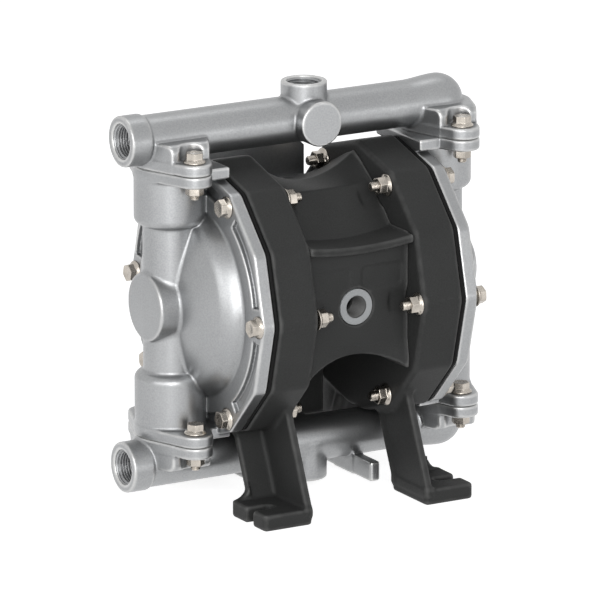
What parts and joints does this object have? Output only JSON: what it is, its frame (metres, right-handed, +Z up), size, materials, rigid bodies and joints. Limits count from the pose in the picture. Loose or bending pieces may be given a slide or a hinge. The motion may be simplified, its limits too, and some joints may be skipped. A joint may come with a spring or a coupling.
{
  "type": "air operated diaphragm pump",
  "caption": "Air operated double diaphragm pump: dark centre housing and legs between two aluminium fluid caps, with check valves and bolted inlet and outlet manifolds.",
  "frame": {"origin": "in the middle of the thread of the bottom inlet port, under the middle of the diaphragm shaft and 13.5 mm above the floor", "axes": "+X along the diaphragm shaft towards the closed ends of the manifolds, -Y is the front with the air inlet, +Z up"},
  "size_m": [0.2458, 0.1833, 0.259],
  "materials": {
    "cast_aluminium": "bead-blasted casting",
    "charcoal_casting": "matt charcoal coating",
    "stainless_steel": "bright stainless",
    "black_rubber": "moulded rubber",
    "grey_polymer": "machined polymer",
    "inlet_ring": "light grey, matt",
    "valve_seat_steel": "turned stainless",
    "zinc_plate": "zinc plated",
    "muffler_plastic": "sintered black plastic"
  },
  "bodies": {
    "housing": {"air_inlet_bushing": "inlet_ring", "air_valve_body": "cast_aluminium", "air_valve_gasket": "black_rubber", "air_valve_screws": "stainless_steel", "centre_housing": "charcoal_casting", "inlet_manifold": "cast_aluminium", "inlet_manifold_bolts": "stainless_steel", "inlet_manifold_nuts": "stainless_steel", "left_air_cap": "charcoal_casting", "left_air_cap_screws": "stainless_steel", "left_body_bolts": "stainless_steel", "left_body_nuts": "stainless_steel", "left_centre_gasket": "black_rubber", "left_diaphragm": "black_rubber", "left_fluid_cap": "cast_aluminium", "left_inlet_seat": "valve_seat_steel", "left_inlet_seat_ring": "black_rubber", "left_outlet_seat": "valve_seat_steel", "left_outlet_seat_ring": "black_rubber", "left_pilot_bushing": "grey_polymer", "left_shaft_bushing": "grey_polymer", "left_shaft_seal": "black_rubber", "left_valve_cap": "cast_aluminium", "left_valve_cap_ring": "black_rubber", "muffler": "muffler_plastic", "outlet_manifold": "cast_aluminium", "outlet_manifold_bolts": "stainless_steel", "outlet_manifold_nuts": "stainless_steel", "right_air_cap": "charcoal_casting", "right_air_cap_screws": "stainless_steel", "right_body_bolts": "stainless_steel", "right_body_nuts": "stainless_steel", "right_centre_gasket": "black_rubber", "right_diaphragm": "black_rubber", "right_fluid_cap": "cast_aluminium", "right_inlet_seat": "valve_seat_steel", "right_inlet_seat_ring": "black_rubber", "right_outlet_seat": "valve_seat_steel", "right_outlet_seat_ring": "black_rubber", "right_pilot_bushing": "grey_polymer", "right_shaft_bushing": "grey_polymer", "right_shaft_seal": "black_rubber", "right_valve_cap": "cast_aluminium", "right_valve_cap_ring": "black_rubber", "valve_cap_screws": "stainless_steel", "valve_sleeve": "valve_seat_steel"},
    "shaft_assembly": {"diaphragm_shaft": "stainless_steel", "left_inner_plate": "zinc_plate", "left_outer_plate": "zinc_plate", "left_plate_bolt": "stainless_steel", "right_inner_plate": "zinc_plate", "right_outer_plate": "zinc_plate", "right_plate_bolt": "stainless_steel"},
    "pilot_rod": {"pilot_rod": "stainless_steel"},
    "valve_spool": {"valve_spool": "grey_polymer"},
    "left_inlet_ball": {"left_inlet_ball": "stainless_steel"},
    "left_outlet_ball": {"left_outlet_ball": "stainless_steel"},
    "right_inlet_ball": {"right_inlet_ball": "stainless_steel"},
    "right_outlet_ball": {"right_outlet_ball": "stainless_steel"}
  },
  "joints": [
    {"name": "shaft_slide", "type": "slide", "parent": "housing", "child": "shaft_assembly", "axis": [1, 0, 0], "range_m": [-0.008, 0.008], "deforming": ["left_diaphragm", "right_diaphragm"]},
    {"name": "pilot_slide", "type": "slide", "parent": "housing", "child": "pilot_rod", "axis": [1, 0, 0], "range_m": [-0.003, 0.003]},
    {"name": "spool_slide", "type": "slide", "parent": "housing", "child": "valve_spool", "axis": [1, 0, 0], "range_m": [-0.0036, 0.0036]},
    {"name": "left_inlet_ball_lift", "type": "slide", "parent": "housing", "child": "left_inlet_ball", "axis": [0, 0, 1], "range_m": [0, 0.0045]},
    {"name": "left_outlet_ball_lift", "type": "slide", "parent": "housing", "child": "left_outlet_ball", "axis": [0, 0, 1], "range_m": [0, 0.0045]},
    {"name": "right_inlet_ball_lift", "type": "slide", "parent": "housing", "child": "right_inlet_ball", "axis": [0, 0, 1], "range_m": [0, 0.0045]},
    {"name": "right_outlet_ball_lift", "type": "slide", "parent": "housing", "child": "right_outlet_ball", "axis": [0, 0, 1], "range_m": [0, 0.0045]}
  ],
  "couplings": [
    {"joint": "pilot_slide", "follows": "shaft_slide", "ratio": 0.35}
  ]
}
